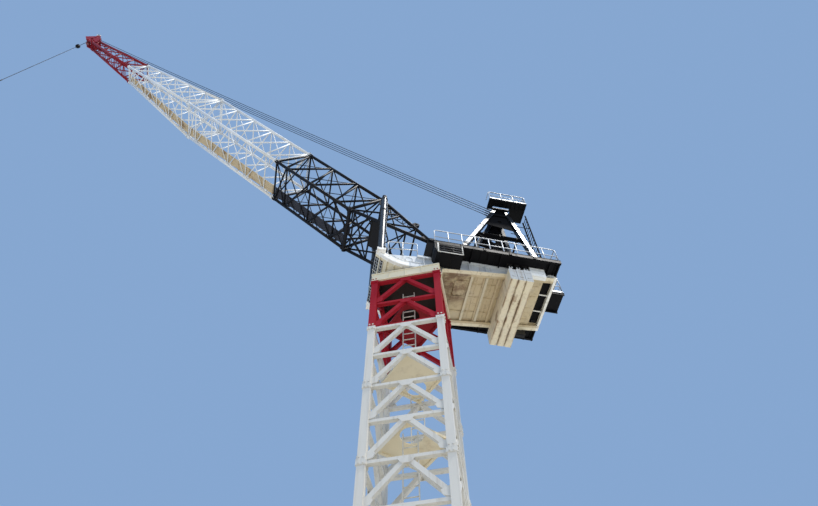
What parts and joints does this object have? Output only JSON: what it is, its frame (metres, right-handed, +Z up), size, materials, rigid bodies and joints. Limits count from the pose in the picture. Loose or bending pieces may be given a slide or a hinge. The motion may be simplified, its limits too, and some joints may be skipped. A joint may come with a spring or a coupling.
{
  "type": "luffing tower crane scale model",
  "caption": "Scale model at one to two of a tower crane: lattice mast, slewing deck with hung counterweights and A-frame, and a luffing lattice jib with rope and hook.",
  "frame": {"origin": "on the mast's axis, on the flat underside of the base frame that the ground holds", "axes": "+Z up the mast, +X from the mast's axis towards the jib's head at rest, +Y to the side that faces the picture's camera"},
  "size_m": [14.4616, 2.7334, 23.1162],
  "materials": {
    "mast_white": "matt",
    "mast_red": "satin",
    "deck_cream": "matt",
    "deck_black": "satin",
    "jib_white": "matt",
    "jib_red": "satin",
    "jib_black": "satin",
    "ballast": "matt",
    "galvanised": "dull",
    "machine_grey": "satin",
    "rope_steel": "dull",
    "hook_paint": "satin"
  },
  "bodies": {
    "tower": {"base_frame": "mast_white", "mast_front": "mast_white", "mast_back": "mast_white", "mast_left": "mast_white", "mast_right": "mast_white", "top_front": "mast_red", "top_back": "mast_red", "top_left": "mast_red", "top_right": "mast_red", "landings": "mast_white", "ladders": "galvanised", "collar": "deck_cream"},
    "upper": {"turret": "deck_cream", "underframe": "deck_cream", "counterweights": "ballast", "weight_hangers": "mast_white", "walkways": "deck_black", "rear_platform": "deck_black", "deck_rails": "galvanised", "side_box": "deck_black", "box_guard": "mast_white", "rest_posts": "deck_black", "foot_brackets": "deck_black", "a_frame_near": "deck_black", "a_frame_far": "deck_black", "a_frame_head": "deck_black", "head_platform": "deck_black", "rear_ladder": "deck_black", "luffing_winch": "machine_grey", "hoist_winch": "machine_grey"},
    "jib": {"butt_near": "jib_black", "butt_far": "jib_black", "butt_top": "jib_black", "butt_bottom": "jib_black", "knee_frame": "jib_black", "mid_near": "jib_white", "mid_far": "jib_white", "mid_top": "jib_white", "mid_bottom": "jib_white", "tip_near": "jib_red", "tip_far": "jib_red", "tip_braces": "jib_red", "jib_head": "jib_red", "jib_walkway": "galvanised", "jib_drum": "jib_black"},
    "falls": {"luffing_ropes": "rope_steel"},
    "line": {"hoist_rope": "rope_steel", "rope_weight": "rope_steel"},
    "hook_block": {"hook": "hook_paint"}
  },
  "joints": [
    {"name": "slew", "type": "hinge", "parent": "tower", "child": "upper", "pos_m": [0, 0, 10.02], "axis": [0, 0, 1], "continuous": true},
    {"name": "luff", "type": "hinge", "parent": "upper", "child": "jib", "pos_m": [-0.302, 0, 11.145], "axis": [0, -1, 0], "range_deg": [0, 35]},
    {"name": "falls_swing", "type": "hinge", "parent": "upper", "child": "falls", "pos_m": [-2.18, 0, 14.09], "axis": [0, -1, 0], "range_deg": [0, 37.72], "deforming": ["luffing_ropes"]},
    {"name": "line_swing", "type": "hinge", "parent": "jib", "child": "line", "pos_m": [11.2238, 0, 22.27228], "axis": [0, -1, 0], "range_deg": [-35.05, 0.05]},
    {"name": "hook_lift", "type": "slide", "parent": "line", "child": "hook_block", "axis": [0, 0, 1], "range_m": [0, 3.2], "deforming": ["hoist_rope"]}
  ],
  "couplings": [
    {"joint": "falls_swing", "follows": "luff", "ratio": 1.0763},
    {"joint": "line_swing", "follows": "luff", "ratio": -1}
  ]
}
